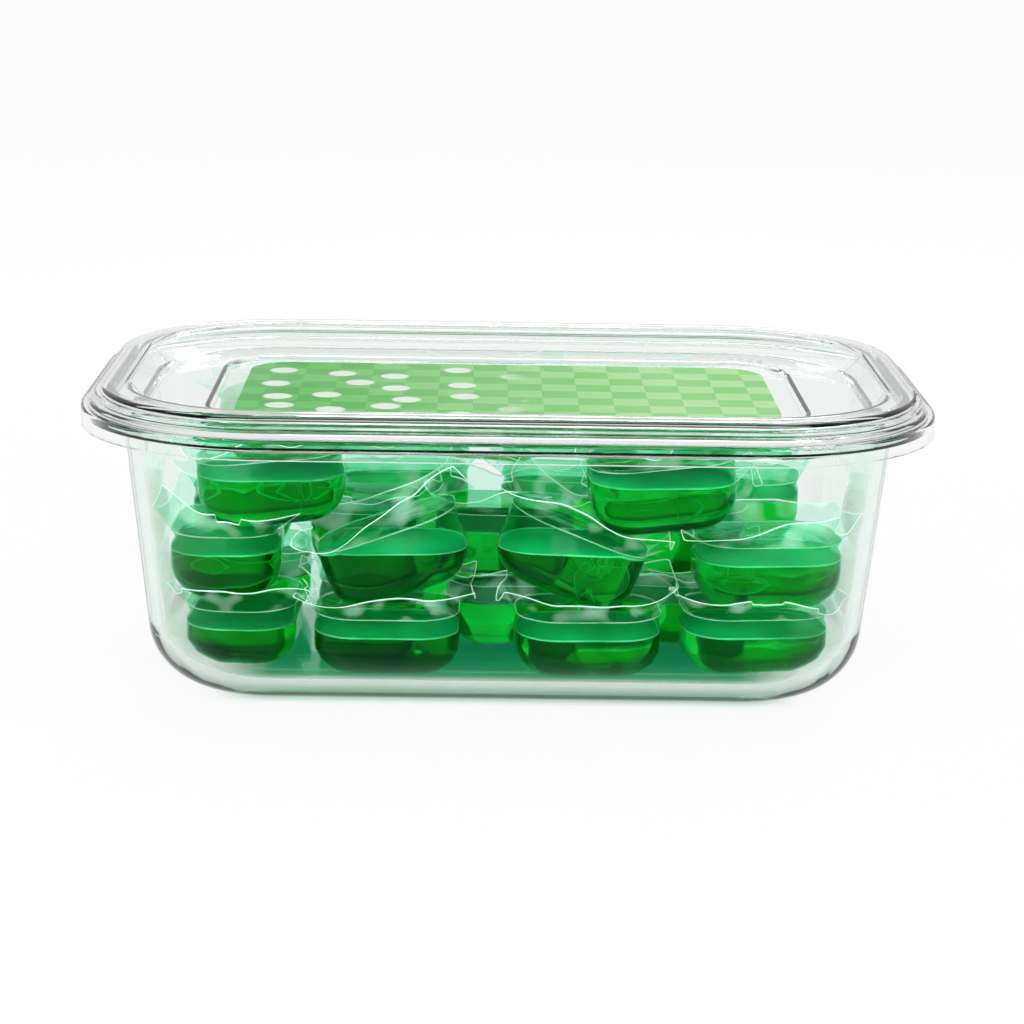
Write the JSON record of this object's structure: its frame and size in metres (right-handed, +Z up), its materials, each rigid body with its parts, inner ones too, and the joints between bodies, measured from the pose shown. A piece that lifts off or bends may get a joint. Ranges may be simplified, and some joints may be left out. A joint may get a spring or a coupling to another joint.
{
  "type": "clear tub of gel capsules",
  "caption": "Clear rectangular tub with a lift-off lid and a printed label, filled with green gel capsules in clear film for cleaning drains",
  "frame": {"origin": "middle of the base, on the plane the tub stands on", "axes": "X along the tub's long side, Y from the front to the back, Z up"},
  "size_m": [0.1702, 0.1162, 0.0611],
  "materials": {
    "clear_tub": "clear moulding with a faint green edge",
    "clear_lid": "clear moulding with a faint green edge",
    "label_print": "printed film in greens and white",
    "capsule_film": "thin clear film, glossy",
    "capsule_gel": "clear deep green gel"
  },
  "bodies": {
    "tub": {"tub": "clear_tub", "capsule_01_film": "capsule_film", "capsule_02_film": "capsule_film", "capsule_03_film": "capsule_film", "capsule_04_film": "capsule_film", "capsule_05_film": "capsule_film", "capsule_06_film": "capsule_film", "capsule_07_film": "capsule_film", "capsule_08_film": "capsule_film", "capsule_09_film": "capsule_film", "capsule_10_film": "capsule_film", "capsule_11_film": "capsule_film", "capsule_12_film": "capsule_film", "capsule_13_film": "capsule_film", "capsule_14_film": "capsule_film", "capsule_15_film": "capsule_film", "capsule_16_film": "capsule_film", "capsule_17_film": "capsule_film", "capsule_18_film": "capsule_film", "capsule_19_film": "capsule_film", "capsule_20_film": "capsule_film", "capsule_21_film": "capsule_film", "capsule_22_film": "capsule_film", "capsule_23_film": "capsule_film", "capsule_24_film": "capsule_film", "capsule_25_film": "capsule_film", "capsule_26_film": "capsule_film", "capsule_27_film": "capsule_film", "capsule_01_gel": "capsule_gel", "capsule_02_gel": "capsule_gel", "capsule_03_gel": "capsule_gel", "capsule_04_gel": "capsule_gel", "capsule_05_gel": "capsule_gel", "capsule_06_gel": "capsule_gel", "capsule_07_gel": "capsule_gel", "capsule_08_gel": "capsule_gel", "capsule_09_gel": "capsule_gel", "capsule_10_gel": "capsule_gel", "capsule_11_gel": "capsule_gel", "capsule_12_gel": "capsule_gel", "capsule_13_gel": "capsule_gel", "capsule_14_gel": "capsule_gel", "capsule_15_gel": "capsule_gel", "capsule_16_gel": "capsule_gel", "capsule_17_gel": "capsule_gel", "capsule_18_gel": "capsule_gel", "capsule_19_gel": "capsule_gel", "capsule_20_gel": "capsule_gel", "capsule_21_gel": "capsule_gel", "capsule_22_gel": "capsule_gel", "capsule_23_gel": "capsule_gel", "capsule_24_gel": "capsule_gel", "capsule_25_gel": "capsule_gel", "capsule_26_gel": "capsule_gel", "capsule_27_gel": "capsule_gel"},
    "lid": {"lid": "clear_lid", "label": "label_print"}
  },
  "joints": [
    {"name": "lid_lift", "type": "slide", "parent": "tub", "child": "lid", "axis": [0, 0, 1], "range_m": [0, 0.08]}
  ]
}
